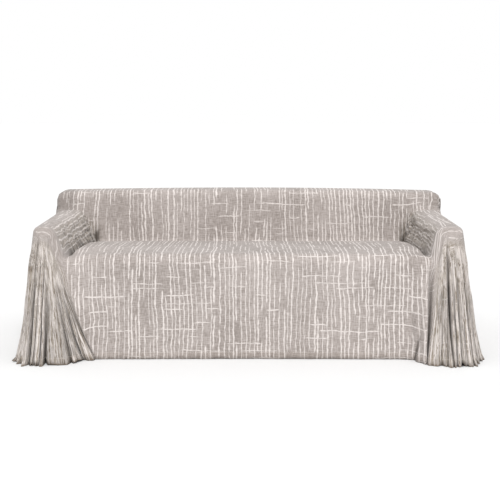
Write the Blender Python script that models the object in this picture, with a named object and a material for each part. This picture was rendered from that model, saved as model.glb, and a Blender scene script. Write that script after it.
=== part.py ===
"""Sofa slipcover: one loose rectangular cloth, draped over the back, arms and seat and down to the floor.

The cloth is worked out in two zones. The top sheet is a grid that lies on the seat, the arms and the back.
The skirt falls from the top sheet's edge to the floor, all the way round, with a fan of folds at each corner.
Metres, +Z up, +X across the seat and +Y to the back. The origin is on the floor, at the middle of the cover.
"""

import math

import bpy
import numpy as np

# Driving dimensions
CLOTH_THICKNESS = 0.0028
HALF_WIDTH = 1.035         # from the middle to the outer face of an arm
DEPTH = 0.95               # from the front face to the rear face
INSET = 0.05               # the top sheet ends this far inside the outer faces
SEAT_FRONT = 0.487         # the seat's height at its front edge, beside an arm
SEAT_REAR = 0.468          # and where it meets the back
ARM_TOP = 0.636
BACK_TOP = 0.742
BACK_FOOT = 0.715          # from the front face to where the back meets the seat
BACK_CREST = 0.755         # from the front face to the back's upper edge
FOOT_ROUND = 0.016         # radius in which the cloth turns up from the seat
CREST_ROUND = 0.040        # radius over the back
ARM_ROUND = 0.058          # radius over an arm
SEAT_CROWN = 0.018         # how much higher the middle of the seat is than its sides
CROWN_RUN = 0.45           # the crown fades out over this distance in front of the back
CROWN_FADE = 0.7           # power by which it fades
FLAT_ABOVE = 0.05          # this high above the seat the crown ends, and on the back the cloth spreads
SPREAD_HEIGHT = 0.247      # height in which the cloth on the back opens out past the arms
SAG_FROM = 0.17            # height above the seat at which the back's top starts to sag
SAG_BLEND = 0.08

# Each arm's inner face runs from its foot on the seat up to its crest. The slack cloth draws both inwards
# towards the back. "bridge" is the reach of the slack where the arm meets the back, and "sag" is how fast the
# back's top drops towards its end.
LEFT_ARM = {
    "foot_front": 0.884, "foot_rear": 0.834, "crest_front": 0.936, "crest_rear": 0.902,
    "bridge": 0.030, "sag": 0.010,
}
RIGHT_ARM = {
    "foot_front": 0.880, "foot_rear": 0.850, "crest_front": 0.905, "crest_rear": 0.893,
    "bridge": 0.100, "sag": 0.015,
}

# The skirt's fall, in shares of the way from its upper edge to the floor
DRIFT_POWER = 1.15         # how late the folds drift sideways
FLARE_FROM = 0.05          # where the skirt starts to stand out
KICK = 0.08                # share of the flare that comes just above the floor
KICK_POWER = 10
FOLD_EASE = 0.15           # how far a fold takes to open
FOLD_START = 0.25          # share of its depth that it has by then
FOLD_POWER = 1.4           # above 1, a valley is narrower than the ridge beside it

# The skirt's ring is measured along one half of the cover, from the middle of the front, round the side to
# the middle of the rear. Each corner takes up a set length of the ring for its quarter turn.
FRONT_RUN = HALF_WIDTH - INSET
SIDE_RUN = DEPTH - 2 * INSET
CORNER_RUN = 0.30
SIDE_START = FRONT_RUN + CORNER_RUN
REAR_CORNER = SIDE_START + SIDE_RUN
REAR_START = REAR_CORNER + CORNER_RUN
RING_LENGTH = REAR_START + FRONT_RUN

# Flare, by place on the ring: how far the left and the right skirt stand out at the floor, how far the cloth
# stands out just under the edge, and the radius of the edge that it falls from
FLARE = (
    # place, left, right, shoulder, radius
    (0.000, 0.022, 0.022, 0.000, 0.050),
    (0.720, 0.030, 0.030, 0.000, 0.050),
    (0.790, 0.072, 0.045, 0.000, 0.046),
    (0.808, 0.088, 0.084, 0.000, 0.045),
    (0.828, 0.112, 0.100, 0.000, 0.042),
    (0.840, 0.124, 0.138, 0.000, 0.041),
    (0.862, 0.146, 0.150, 0.000, 0.036),
    (0.950, 0.176, 0.182, 0.000, 0.032),
    (1.040, 0.176, 0.186, 0.000, 0.032),
    (1.110, 0.140, 0.150, 0.000, 0.032),
    (1.200, 0.100, 0.113, 0.000, 0.032),
    (1.300, 0.080, 0.094, 0.000, 0.032),
    (1.450, 0.066, 0.070, 0.000, 0.032),
    (1.800, 0.056, 0.060, 0.000, 0.034),
    (1.980, 0.060, 0.066, 0.014, 0.040),
    (2.150, 0.085, 0.085, 0.018, 0.044),
    (2.300, 0.110, 0.110, 0.006, 0.046),
    (2.480, 0.060, 0.060, 0.000, 0.046),
    (3.420, 0.030, 0.030, 0.000, 0.046),
)

# Folds: a row for each valley between two folds of the skirt, from the front to the rear.
# "top" and "floor" are its places on the ring at the upper edge and at the floor. "late" is how late it
# drifts from one to the other. "opens" is how far down the skirt it starts. "depth" is how deep it is at the
# floor and "reach" is half its width.
LEFT_FOLDS = (
    # top, floor, late, opens, depth, reach
    (0.880, 0.738, 1.50, 0.02, 0.026, 0.030),
    (0.898, 0.795, 1.30, 0.45, 0.046, 0.026),
    (0.915, 0.842, 1.20, 0.40, 0.040, 0.030),
    (0.924, 0.963, 1.80, 0.42, 0.070, 0.034),
    (0.948, 0.990, 1.20, 0.20, 0.040, 0.022),
    (1.044, 1.036, 1.00, 0.04, 0.080, 0.034),
    (1.150, 1.105, 1.00, 0.16, 0.060, 0.034),
    (1.240, 1.225, 1.00, 0.10, 0.055, 0.038),
    (1.405, 1.385, 1.15, 0.25, 0.040, 0.055),
    (1.545, 1.575, 1.15, 0.35, 0.030, 0.070),
    (1.705, 1.765, 1.15, 0.30, 0.034, 0.070),
    (1.945, 1.965, 1.15, 0.20, 0.038, 0.060),
    (2.175, 2.175, 1.15, 0.12, 0.055, 0.045),
    (2.295, 2.295, 1.15, 0.10, 0.060, 0.045),
    (2.415, 2.435, 1.15, 0.15, 0.050, 0.050),
    (2.685, 2.725, 1.15, 0.30, 0.026, 0.080),
    (3.035, 3.005, 1.15, 0.40, 0.020, 0.090),
)
RIGHT_FOLDS = (
    # top, floor, late, opens, depth, reach
    (0.864, 0.802, 1.30, 0.66, 0.034, 0.026),
    (0.878, 0.848, 0.60, 0.02, 0.064, 0.022),
    (0.943, 0.968, 2.00, 0.09, 0.072, 0.032),
    (1.072, 1.054, 0.80, 0.08, 0.074, 0.032),
    (1.150, 1.120, 1.00, 0.35, 0.056, 0.032),
    (1.215, 1.205, 1.00, 0.15, 0.056, 0.036),
    (1.325, 1.315, 1.15, 0.22, 0.046, 0.048),
    (1.485, 1.505, 1.15, 0.40, 0.030, 0.066),
    (1.675, 1.685, 1.15, 0.30, 0.032, 0.070),
    (1.885, 1.905, 1.15, 0.24, 0.036, 0.062),
    (2.155, 2.155, 1.15, 0.10, 0.052, 0.045),
    (2.275, 2.285, 1.15, 0.14, 0.060, 0.045),
    (2.405, 2.415, 1.15, 0.12, 0.052, 0.050),
    (2.605, 2.585, 1.15, 0.34, 0.026, 0.080),
    (2.915, 2.945, 1.15, 0.40, 0.022, 0.090),
    (3.265, 3.245, 1.15, 0.45, 0.018, 0.090),
)

# Stations of the mesh. Across the front edge they stand at the places below and then at the valleys that start
# there and halfway between them. Along the cloth they are zones of start, end and number of steps.
SEAT_PLACES = (0.0, 0.14, 0.28, 0.42, 0.56, 0.70, 0.79)
ALONG_STEPS = ((0.0, 0.62, 8), (0.62, 0.72, 3), (0.72, 0.92, 3), (0.92, 1.06, 4), (1.06, None, 1))
FALL_STEPS = (0.05, 0.10, 0.15, 0.27, 0.41, 0.56, 0.71, 0.86, 1.0)
ARC_POINTS = 13            # points on each rounded corner of a path
FRONT_CORNER_STEPS = 17
REAR_CORNER_STEPS = 9


def smooth_step(x):
    """Rises from 0 to 1 with level ends."""
    x = np.clip(x, 0.0, 1.0)
    return x * x * (3.0 - 2.0 * x)


def soft_path(corners, rounds):
    """A path through 2D corners, each rounded to its radius, as points and their distances along it."""
    corners = [np.array(corner, float) for corner in corners]
    points = [corners[0]]
    for before, corner, after, radius in zip(corners, corners[1:], corners[2:], rounds):
        inward = (corner - before) / np.linalg.norm(corner - before)
        outward = (after - corner) / np.linalg.norm(after - corner)
        turn = math.acos(float(np.clip(inward @ outward, -1.0, 1.0)))
        start = corner - inward * radius * math.tan(turn / 2)
        side = outward - inward * (inward @ outward)
        side = side / max(np.linalg.norm(side), 1e-9)
        for angle in np.linspace(0.0, turn, ARC_POINTS):
            points.append(start + inward * radius * math.sin(angle) + side * radius * (1 - math.cos(angle)))
    points = np.array(points + [corners[-1]])
    distances = np.concatenate([[0.0], np.cumsum(np.linalg.norm(np.diff(points, axis=0), axis=1))])
    return points, distances


def stations(steps, length):
    """Distances along a path of this length, evenly spaced within each zone."""
    found = [steps[0][0]]
    for start, end, count in steps:
        end = length if end is None else end
        found += [start + (end - start) * (k + 1) / count for k in range(count)]
    return np.array(found)


def arm_path(arm, depth, seat):
    """The cloth's path across half the seat and over an arm, at a depth where the seat has this height."""
    foot = np.interp(depth, [INSET, BACK_FOOT], [arm["foot_front"], arm["foot_rear"]])
    crest = np.interp(depth, [INSET, BACK_FOOT], [arm["crest_front"], arm["crest_rear"]])
    rise = ARM_TOP - seat
    return soft_path([(0, 0), (foot, 0), (crest, rise), (FRONT_RUN, rise)], [FOOT_ROUND, ARM_ROUND])


def across_shares(arm, folds):
    """Shares of the path at which the grid's lines run, so that they meet the front edge at the valleys."""
    tops = [row[0] for row in folds if row[0] < FRONT_RUN]
    marks = sorted(tops + [(a + b) / 2 for a, b in zip(tops, tops[1:] + [FRONT_RUN])] + [FRONT_RUN])
    points, distances = arm_path(arm, INSET, SEAT_FRONT)
    found = np.interp(list(SEAT_PLACES) + marks, points[:, 0], distances)
    return found / distances[-1]


def top_sheet(arm, folds):
    """Half of the top sheet, as a grid of points from the middle out and from the front back."""
    along_points, along_distances = soft_path(
        [(INSET, SEAT_FRONT), (BACK_FOOT, SEAT_REAR), (BACK_CREST, BACK_TOP), (DEPTH - INSET, BACK_TOP)],
        [FOOT_ROUND, CREST_ROUND],
    )
    along = stations(ALONG_STEPS, along_distances[-1])
    y = np.interp(along, along_distances, along_points[:, 0])
    height = np.interp(along, along_distances, along_points[:, 1])
    seat = np.interp(y, [INSET, BACK_FOOT], [SEAT_FRONT, SEAT_REAR])
    share = across_shares(arm, folds)
    x = np.zeros((len(share), len(y)))
    rise = np.zeros((len(share), len(y)))
    for k, depth in enumerate(y):
        points, distances = arm_path(arm, depth, seat[k])
        x[:, k] = np.interp(share * distances[-1], distances, points[:, 0])
        rise[:, k] = np.interp(share * distances[-1], distances, points[:, 1])
    y, seat, back, share = y[None, :], seat[None, :], (height - seat)[None, :], share[:, None]

    # Above the arms the cloth on the back spreads evenly, so the steps on the arm's face open out there.
    spread = smooth_step((back - FLAT_ABOVE) / SPREAD_HEIGHT)
    x = x * (1.0 - spread) + spread * share * FRONT_RUN

    # The higher of the two is the cloth's height, with slack bridging the corner between them.
    gap = np.abs(rise - back)
    slack = np.clip(1.0 - gap / arm["bridge"], 0.0, 1.0) ** 2 * arm["bridge"] / 4
    slack = slack * smooth_step(np.minimum(rise, back) / arm["bridge"])
    crown = SEAT_CROWN * (1.0 - (x / arm["foot_front"]) ** 4)
    crown = crown * np.clip((BACK_FOOT - y) / CROWN_RUN, 0.0, 1.0) ** CROWN_FADE
    crown = crown * (1.0 - smooth_step(np.maximum(rise, back) / FLAT_ABOVE))
    z = seat + np.maximum(rise, back) + slack + np.maximum(crown, 0.0)
    z = z - arm["sag"] * x ** 2 * smooth_step((back - SAG_FROM) / SAG_BLEND)
    return np.stack([x, y + 0.0 * x, z], axis=-1)


def ring_frame(place):
    """Base point and outward direction at a place on the ring, for the half at +X."""
    turn = np.clip((place - FRONT_RUN) / CORNER_RUN, 0, 1) + np.clip((place - REAR_CORNER) / CORNER_RUN, 0, 1)
    angle = turn * math.pi / 2
    base_x = np.clip(place, 0, FRONT_RUN) - np.clip(place - REAR_START, 0, FRONT_RUN)
    base_y = INSET + np.clip(place - SIDE_START, 0, SIDE_RUN)
    return np.stack([base_x, base_y], -1), np.stack([np.sin(angle), -np.cos(angle)], -1)


def corner_places(start, tops, count):
    """Places for the columns of a corner's fan, evenly spaced between the valleys that start in it."""
    inside = [top for top in tops if start < top < start + CORNER_RUN]
    marks = [start] + inside + [start + CORNER_RUN]
    per_mark = np.linspace(0, len(marks) - 1, count + 1)
    return list(np.interp(per_mark, range(len(marks)), marks))


def skirt(top, folds, flare_column):
    """The skirt of one half: a column of points for each place on the ring, and each column's top vertex."""
    tops, floors, lates, opens, depths, reaches = np.array(folds).T
    last_out, last_along = top.shape[0] - 1, top.shape[1] - 1
    columns = [(i, 0, top[i, 0, 0]) for i in range(last_out)]
    columns += [(last_out, 0, place) for place in corner_places(FRONT_RUN, tops, FRONT_CORNER_STEPS)]
    columns += [(last_out, j, SIDE_START + top[last_out, j, 1] - INSET) for j in range(1, last_along)]
    columns += [(last_out, last_along, place) for place in corner_places(REAR_CORNER, tops, REAR_CORNER_STEPS)]
    rear = [(i, last_along, REAR_START + FRONT_RUN - top[i, last_along, 0]) for i in range(last_out)]
    columns += rear[::-1]

    # The edge turns over away from the way the top sheet faces, so it also turns round the back's ends.
    normals = np.cross(np.gradient(top, axis=0), np.gradient(top, axis=1))
    normals = normals / np.linalg.norm(normals, axis=-1, keepdims=True)
    facing = np.array([normals[i, j] for i, j, _ in columns])
    anchors = np.array([top[i, j] for i, j, _ in columns])
    top_place = np.array([place for _, _, place in columns])
    floor_place = np.interp(top_place, [0.0, *tops, RING_LENGTH], [0.0, *floors, RING_LENGTH])
    floor_base, _ = ring_frame(floor_place)
    flare = np.array(FLARE).T
    radius = np.interp(top_place, flare[0], flare[4])
    level = INSET - radius
    round_length = radius * math.pi / 2
    straight = anchors[:, 2] - radius * facing[:, 2]

    rows = []
    for fall in FALL_STEPS:
        run = fall * (level + round_length + straight)
        over_edge = np.clip((run - level) / radius, 0, math.pi / 2)
        bend = radius * (1 - np.cos(over_edge))
        down = bend * facing[:, 2] + np.maximum(run - level - round_length, 0.0)
        progress = down / anchors[:, 2]
        travel = progress ** DRIFT_POWER
        place = top_place + (floor_place - top_place) * travel
        even = np.clip((progress - FLARE_FROM) / (1.0 - FLARE_FROM), 0.0, 1.0)
        stands_out = (1.0 - KICK) * even + KICK * progress ** KICK_POWER
        shoulder = np.interp(place, flare[0], flare[3])
        out = np.minimum(run, level) + (radius + shoulder) * np.sin(over_edge)
        out = out + stands_out * np.interp(place, flare[0], flare[flare_column])
        for k in range(len(folds)):
            valley = tops[k] + (floors[k] - tops[k]) * progress ** lates[k]
            below = progress - opens[k]
            grown = smooth_step(FOLD_START + (1.0 - FOLD_START) * below / (1.0 - opens[k]))
            grown = grown * smooth_step(below / FOLD_EASE)
            distance = np.abs(place - valley) / reaches[k]
            out = out - depths[k] * grown * np.clip(1.0 - distance, 0.0, 1.0) ** FOLD_POWER
        _, direction = ring_frame(place)
        base = anchors[:, :2] + (floor_base - anchors[:, :2]) * travel[:, None]
        spot = base + direction * out[:, None] - facing[:, :2] * (bend * (1 - travel))[:, None]
        rows.append(np.column_stack([spot, anchors[:, 2] - down]))
    return [(i, j) for i, j, _ in columns], np.stack(rows, axis=1)


def cover_mesh():
    """Both halves joined into one sheet: its points and its faces."""
    points = []
    faces = []
    index = {}

    def vertex(key, point, sign):
        if key not in index:
            index[key] = len(points)
            points.append((sign * point[0], point[1], point[2]))
        return index[key]

    def add_face(corners, sign):
        corners = [c for k, c in enumerate(corners) if c != corners[k - 1]]
        faces.append(corners if sign > 0 else corners[::-1])

    for sign, arm, folds, flare_column in ((1, RIGHT_ARM, RIGHT_FOLDS, 2), (-1, LEFT_ARM, LEFT_FOLDS, 1)):
        top = top_sheet(arm, folds)

        def top_vertex(i, j):
            side = 0 if i == 0 else sign
            return vertex(("top", side, i, j), top[i, j], sign)

        for i in range(top.shape[0] - 1):
            for j in range(top.shape[1] - 1):
                quad = [top_vertex(i, j), top_vertex(i + 1, j)]
                quad += [top_vertex(i + 1, j + 1), top_vertex(i, j + 1)]
                add_face(quad, sign)
        anchors, columns = skirt(top, folds, flare_column)
        middle = (0, len(anchors) - 1)

        def skirt_vertex(column, row):
            if row == 0:
                return top_vertex(*anchors[column])
            side = 0 if column in middle else sign
            return vertex(("skirt", side, column, row), columns[column, row - 1], sign)

        for column in range(len(anchors) - 1):
            for row in range(len(FALL_STEPS)):
                quad = [
                    skirt_vertex(column, row),
                    skirt_vertex(column, row + 1),
                    skirt_vertex(column + 1, row + 1),
                    skirt_vertex(column + 1, row),
                ]
                add_face(quad, sign)
    return points, faces


def cloth_material():
    """Greige cotton jacquard: matt, not metallic."""
    material = bpy.data.materials.new("cotton_jacquard")
    material.use_nodes = True
    shader = material.node_tree.nodes["Principled BSDF"]
    shader.inputs["Base Color"].default_value = (0.46, 0.41, 0.38, 1.0)
    shader.inputs["Roughness"].default_value = 0.9
    shader.inputs["Metallic"].default_value = 0.0
    material.diffuse_color = (0.46, 0.41, 0.38, 1.0)
    return material


def rest_on_floor(cover):
    """Moves the mesh so that its box is centred over the origin and stands on the floor."""
    graph = bpy.context.evaluated_depsgraph_get()
    evaluated = cover.evaluated_get(graph)
    corners = np.array([vertex.co[:] for vertex in evaluated.to_mesh().vertices])
    evaluated.to_mesh_clear()
    low, high = corners.min(axis=0), corners.max(axis=0)
    shift = (-(low[0] + high[0]) / 2, -(low[1] + high[1]) / 2, -low[2])
    for vertex in cover.data.vertices:
        vertex.co = (vertex.co[0] + shift[0], vertex.co[1] + shift[1], vertex.co[2] + shift[2])


def build_cover():
    points, faces = cover_mesh()
    mesh = bpy.data.meshes.new("cover")
    mesh.from_pydata(points, [], faces)
    mesh.validate()
    mesh.shade_smooth()
    cover = bpy.data.objects.new("cover", mesh)
    bpy.context.scene.collection.objects.link(cover)
    cover.data.materials.append(cloth_material())
    thickness = cover.modifiers.new("thickness", "SOLIDIFY")
    thickness.thickness = CLOTH_THICKNESS
    thickness.offset = 0.0
    rest_on_floor(cover)
    return cover


for old in list(bpy.data.objects):
    bpy.data.objects.remove(old, do_unlink=True)
build_cover()
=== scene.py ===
import math
import bpy
import numpy as np
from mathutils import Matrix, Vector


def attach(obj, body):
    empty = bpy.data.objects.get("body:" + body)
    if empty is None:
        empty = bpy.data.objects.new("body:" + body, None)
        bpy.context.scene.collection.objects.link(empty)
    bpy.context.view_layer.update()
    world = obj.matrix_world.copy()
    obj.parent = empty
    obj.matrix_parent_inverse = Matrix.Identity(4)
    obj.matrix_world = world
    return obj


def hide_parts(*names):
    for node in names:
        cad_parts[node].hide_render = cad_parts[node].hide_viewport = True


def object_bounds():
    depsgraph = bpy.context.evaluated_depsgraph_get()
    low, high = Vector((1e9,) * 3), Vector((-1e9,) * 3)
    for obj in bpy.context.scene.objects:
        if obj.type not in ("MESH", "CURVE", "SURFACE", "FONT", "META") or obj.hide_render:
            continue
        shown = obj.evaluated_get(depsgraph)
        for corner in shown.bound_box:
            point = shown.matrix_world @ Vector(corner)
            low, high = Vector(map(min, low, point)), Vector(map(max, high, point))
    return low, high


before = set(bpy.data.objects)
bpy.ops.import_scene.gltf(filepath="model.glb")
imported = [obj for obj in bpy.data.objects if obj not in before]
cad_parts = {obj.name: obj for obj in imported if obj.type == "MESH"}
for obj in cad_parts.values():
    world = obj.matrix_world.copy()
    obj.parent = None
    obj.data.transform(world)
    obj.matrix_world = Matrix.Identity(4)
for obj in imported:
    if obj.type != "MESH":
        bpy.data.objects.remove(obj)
cadLow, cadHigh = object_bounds()
print("frame loaded")

# The form that the cloth lies on, in metres: x from the middle out, y from the front face back.
form = dict(
    halfWidth=1.035,       # outer face of an arm
    depth=0.95,            # rear face
    inset=0.05,            # the top sheet ends this far inside the outer faces
    seatFront=0.487,       # the seat's height at its front edge, beside an arm
    seatRear=0.468,        # and where it meets the back
    armTop=0.636,
    backTop=0.742,
    backFoot=0.715,        # where the back meets the seat
    backCrest=0.755,       # the back's upper edge
    footRound=0.016,
    crestRound=0.040,
    armRound=0.058,        # an arm's upper edge is softer
    seatCrown=0.018,       # how much higher the seat is in its middle
    crownHalf=0.88,        # and how far out and how far from the back it goes
    crownFade=0.45,
    sideCrown=0.016,       # the same beside the arms, between these distances from the middle
    sideCrownFrom=0.5,
    sideCrownTo=0.874,
    seatLift=0.12,         # where the back has risen this far, the seat's details end
)

# Each arm's inner face runs from its foot on the seat up to its crest. The slack cloth draws both inwards.
leftArm = dict(
    footFront=0.884, footRear=0.834, crestFront=0.936, crestRear=0.902,
    bridge=0.030,          # slack where the arm meets the back
    sag=0.010,             # how far the back's top drops at this end
    gathers=0.8,           # how strong the gathers along its foot are
    faceShade=0.95,             # how much painted shade darkens the creases and foot gathers of the inner face
    endShade=0.36,         # and how much painted shade darkens this end of the back
)
rightArm = dict(
    footFront=0.880, footRear=0.850, crestFront=0.905, crestRear=0.893, bridge=0.100, sag=0.015,
    gathers=1.15, faceShade=0.60, endShade=0.12,
)

# The skirt's ring runs from the middle of the front, round one side, to the middle of the rear.
cornerRun = 0.30           # room that each corner's quarter turn takes up on the ring
frontRun = form["halfWidth"] - form["inset"]
sideRun = form["depth"] - 2 * form["inset"]
sideStart = frontRun + cornerRun
rearCorner = sideStart + sideRun
rearStart = rearCorner + cornerRun
ringLength = rearStart + frontRun

# Place on the ring, how far the left and the right skirt stand out at the floor, how far the cloth stands out
# just under the edge, and the radius of that edge.
flare = (
    (0.000, 0.022, 0.022, 0.000, 0.050),
    (0.720, 0.030, 0.030, 0.000, 0.050),
    (0.790, 0.072, 0.045, 0.000, 0.046),
    (0.808, 0.088, 0.084, 0.000, 0.045),
    (0.828, 0.112, 0.100, 0.000, 0.042),
    (0.840, 0.124, 0.138, 0.000, 0.041),
    (0.862, 0.146, 0.150, 0.000, 0.036),
    (0.950, 0.176, 0.182, 0.000, 0.032),
    (1.040, 0.176, 0.186, 0.000, 0.032),
    (1.110, 0.140, 0.150, 0.000, 0.032),
    (1.200, 0.100, 0.113, 0.000, 0.032),
    (1.300, 0.080, 0.094, 0.000, 0.032),
    (1.450, 0.066, 0.070, 0.000, 0.032),
    (1.800, 0.056, 0.060, 0.000, 0.034),
    (1.980, 0.060, 0.066, 0.014, 0.040),
    (2.150, 0.085, 0.085, 0.018, 0.044),
    (2.300, 0.110, 0.110, 0.006, 0.046),
    (2.480, 0.060, 0.060, 0.000, 0.046),
    (3.420, 0.030, 0.030, 0.000, 0.046),
)

# Valleys between the folds: place at the top, place at the floor, how late it drifts from one to the other,
# where it opens, depth at the floor, half its width.
leftFolds = (
    (0.880, 0.738, 1.50, 0.02, 0.026, 0.030),
    (0.898, 0.795, 1.30, 0.45, 0.046, 0.026),
    (0.915, 0.842, 1.20, 0.40, 0.040, 0.030),
    (0.924, 0.963, 1.80, 0.42, 0.070, 0.034),
    (0.948, 0.990, 1.20, 0.20, 0.040, 0.022),
    (1.044, 1.036, 1.00, 0.04, 0.080, 0.034),
    (1.150, 1.105, 1.00, 0.16, 0.060, 0.034),
    (1.240, 1.225, 1.00, 0.10, 0.055, 0.038),
    (1.405, 1.385, 1.15, 0.25, 0.040, 0.055),
    (1.545, 1.575, 1.15, 0.35, 0.030, 0.070),
    (1.705, 1.765, 1.15, 0.30, 0.034, 0.070),
    (1.945, 1.965, 1.15, 0.20, 0.038, 0.060),
    (2.175, 2.175, 1.15, 0.12, 0.055, 0.045),
    (2.295, 2.295, 1.15, 0.10, 0.060, 0.045),
    (2.415, 2.435, 1.15, 0.15, 0.050, 0.050),
    (2.685, 2.725, 1.15, 0.30, 0.026, 0.080),
    (3.035, 3.005, 1.15, 0.40, 0.020, 0.090),
)
rightFolds = (
    (0.864, 0.802, 1.30, 0.66, 0.034, 0.026),
    (0.878, 0.848, 0.60, 0.02, 0.064, 0.015),
    (0.943, 0.968, 2.00, 0.09, 0.072, 0.032),
    (1.072, 1.054, 0.80, 0.08, 0.074, 0.032),
    (1.150, 1.120, 1.00, 0.35, 0.056, 0.032),
    (1.215, 1.205, 1.00, 0.15, 0.056, 0.036),
    (1.325, 1.315, 1.15, 0.22, 0.046, 0.048),
    (1.485, 1.505, 1.15, 0.40, 0.030, 0.066),
    (1.675, 1.685, 1.15, 0.30, 0.032, 0.070),
    (1.885, 1.905, 1.15, 0.24, 0.036, 0.062),
    (2.155, 2.155, 1.15, 0.10, 0.052, 0.045),
    (2.275, 2.285, 1.15, 0.14, 0.060, 0.045),
    (2.405, 2.415, 1.15, 0.12, 0.052, 0.050),
    (2.605, 2.585, 1.15, 0.34, 0.026, 0.080),
    (2.915, 2.945, 1.15, 0.40, 0.022, 0.090),
    (3.265, 3.245, 1.15, 0.45, 0.018, 0.090),
)

cover = dict(
    thickness=0.0013,
    hemThickness=0.0030,   # the hem is turned twice
    hemWidth=0.032,
    drift=1.15,            # how late the cloth drifts to its place at the floor
    pinch=0.84,            # how much a valley draws the cloth beside it together
    pinchShape=1.3,        # more of this, and only close beside it
    valleyDepth=0.95,      # against the tables above
    valleyReach=0.58,
    valleyShape=1.7,       # more of this, sharper
    minorDepth=0.019,      # the small valleys between the large ones
    minorSpacing=0.017,
    cornerEnd=1.30,        # place on the ring where the front corner's gathers end
    rearGather=0.8,        # the rear corner's gathers, against the front one's
    rearMiddle=2.30,       # and where on the ring
    rearWidth=0.17,
    wave=0.0060,           # slow waves of the skirt
    waveRate=16.0,         # a rate is how many bumps there are in a metre
    crease=0.0052,         # narrow creases in the gathered corners
    creaseRate=118.0,
    hemCurl=0.027,
    curlFrom=0.93,         # share of the fall from which the hem curls
    curlRate=120.0,
    hemLift=0.7,           # and lifts, against its curl
    liftRate=95.0,
    smoothUntil=0.13,      # share of the fall above which an arm's front is smooth
    smoothFrom=0.92,       # and between these places on the ring
    smoothTo=1.30,
    armSway=0.007,         # how far the pattern wavers on an arm's inner face
    crimp=0.007,           # scallops on the upright ends of the back
    crimpRate=38.0,
    backEnd=(0.68, 1.10),  # distances from the front that bound such an end
    endReach=0.17,         # how far down its shade and its scallops go
    crinkle=0.0014,        # puckers on the seat, the arms and the back
    armCrease=0.0032,      # wavy creases on an arm's inner face
    armRate=62.0,
    cornerCrease=0.0075,   # the gathers where an arm meets the back
    cornerRate=52.0,
    gather=0.0060,         # short gathers along the foot of an arm
    gatherRate=46.0,
    groove=0.014,          # how far the cloth is tucked in along the foot of an arm
    grooveAt=-0.008,       # just inside the foot
    grooveWidth=0.014,
    rearGroove=0.006,      # and along the foot of the back
    seed=11,
    # A start, then ends with the number of steps up to each: shares of the cloth from the middle to the side
    # edge, distances from the front back, and places on the ring. None is the far end.
    seatShares=(0.0, (0.60, 24), (0.745, 12)),
    armShares=(0.755, (0.82, 8), (0.97, 28), (1.0, 4)),
    seatSteps=(0.0, (0.60, 30), (0.74, 12), (0.92, 10), (1.06, 12), (None, 4)),
    armSteps=(0.0, (0.05, 8), (0.66, 96), (0.74, 14), (0.92, 20), (1.06, 12), (None, 4)),
    ringSteps=(0.0, (0.70, 30), (0.86, 20), (0.93, 46), (0.985, 22), (1.285, 128), (1.45, 26), (1.93, 26),
               (1.95, 4), (1.988, 36), (2.01, 5), (2.135, 12), (2.435, 60), (None, 42)),
    fallSteps=32,
    fullness=1.35,         # flat cloth for each metre along the hem in the gathered corners
    flankFrom=1.16,        # places on the ring where the cloth's lines turn at the corners
    rearFrom=2.18,
)


def smoothStep(x):
    x = np.clip(x, 0.0, 1.0)
    return x * x * (3.0 - 2.0 * x)


def bell(x, middle, width):
    return np.exp(-(((x - middle) / width) ** 2))


def unit(vectors):
    return vectors / np.maximum(np.linalg.norm(vectors, axis=-1, keepdims=True), 1e-9)


def between(x, places, values):  # values at x, column by column
    return np.stack([np.interp(x, places, column) for column in values.T], axis=-1)


def softPath(corners, rounds):  # a path through corners, each rounded: its points and their distances
    corners = [np.array(corner, float) for corner in corners]
    points = [corners[0]]
    for before, corner, after, radius in zip(corners, corners[1:], corners[2:], rounds):
        inward = (corner - before) / np.linalg.norm(corner - before)
        outward = (after - corner) / np.linalg.norm(after - corner)
        turn = math.acos(float(np.clip(inward @ outward, -1.0, 1.0)))
        start = corner - inward * radius * math.tan(turn / 2)
        side = outward - inward * (inward @ outward)
        side = side / max(np.linalg.norm(side), 1e-9)
        for angle in np.linspace(0.0, turn, 13):
            points.append(start + inward * radius * math.sin(angle) + side * radius * (1 - math.cos(angle)))
    points = np.array(points + [corners[-1]])
    distances = np.concatenate([[0.0], np.cumsum(np.linalg.norm(np.diff(points, axis=0), axis=1))])
    return points, distances


def stations(steps, length):
    start, found = steps[0], [steps[0]]
    for end, count in steps[1:]:
        end = length if end is None else end
        found += [start + (end - start) * (k + 1) / count for k in range(count)]
        start = end
    return np.array(found)


def softNoise(x, y, seed):  # smooth bumps of about one unit, from -1 to 1
    lattice = np.random.default_rng(seed).uniform(-1.0, 1.0, (256, 256))
    x, y = np.broadcast_arrays(np.asarray(x, float), np.asarray(y, float))
    column, row = np.floor(x).astype(int), np.floor(y).astype(int)
    s, t = x - column, y - row
    s, t = s * s * (3 - 2 * s), t * t * (3 - 2 * t)

    def at(i, j):
        return lattice[(column + i) % 256, (row + j) % 256]

    return (at(0, 0) * (1 - s) + at(1, 0) * s) * (1 - t) + (at(0, 1) * (1 - s) + at(1, 1) * s) * t


def creases(x, y, seed):  # rounded ridges with narrow valleys between them
    return 2.2 * np.abs(softNoise(x, y, seed)) ** 0.8 - 1.0


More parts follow.
